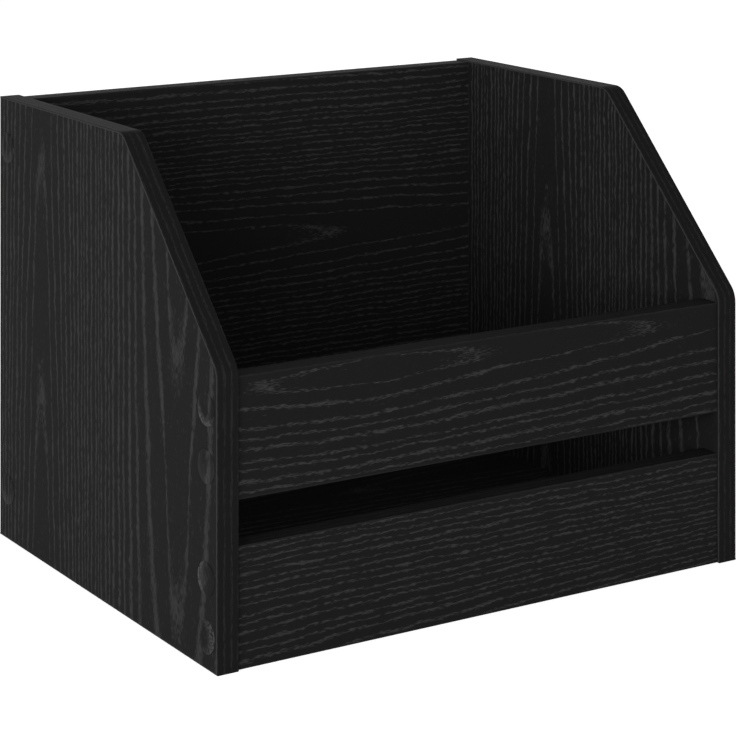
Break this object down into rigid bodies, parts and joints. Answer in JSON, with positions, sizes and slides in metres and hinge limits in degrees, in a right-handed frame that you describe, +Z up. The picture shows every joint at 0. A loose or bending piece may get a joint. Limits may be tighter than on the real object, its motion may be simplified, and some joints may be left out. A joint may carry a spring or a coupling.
{
  "type": "record storage box",
  "caption": "Open-topped record box of wood-grained board with sloped sides, a full back and slatted front, for standing records on edge and browsing them from the front.",
  "frame": {"origin": "on the floor, under the middle of the box", "axes": "+Z up, +X to the right across the width, the open front towards -Y"},
  "size_m": [0.4058, 0.32, 0.31],
  "materials": {
    "board": "black oak-grain foil on particle board, satin",
    "edge_strip": "black oak-grain edge strip, satin",
    "screw_steel": "zinc plated",
    "dowel_wood": "plain beech",
    "cover_foil": "black oak-grain adhesive foil, satin"
  },
  "bodies": {
    "root": {"back_panel": "board", "bottom_panel": "board", "upper_front_slat": "board", "lower_front_slat": "board", "upper_slat_top_band": "edge_strip", "upper_slat_under_band": "edge_strip", "lower_slat_top_band": "edge_strip", "lower_slat_foot_band": "edge_strip", "back_panel_top_band": "edge_strip", "back_panel_foot_band": "edge_strip", "left_side_panel": "board", "left_side_front_band": "edge_strip", "left_side_back_band": "edge_strip", "left_side_foot_band": "edge_strip", "left_upper_slat_screws": "screw_steel", "left_lower_slat_screws": "screw_steel", "left_back_screws": "screw_steel", "left_bottom_dowels": "dowel_wood", "left_cover_caps": "cover_foil", "right_side_panel": "board", "right_side_front_band": "edge_strip", "right_side_back_band": "edge_strip", "right_side_foot_band": "edge_strip", "right_upper_slat_screws": "screw_steel", "right_lower_slat_screws": "screw_steel", "right_back_screws": "screw_steel", "right_bottom_dowels": "dowel_wood", "right_cover_caps": "cover_foil"}
  },
  "joints": []
}
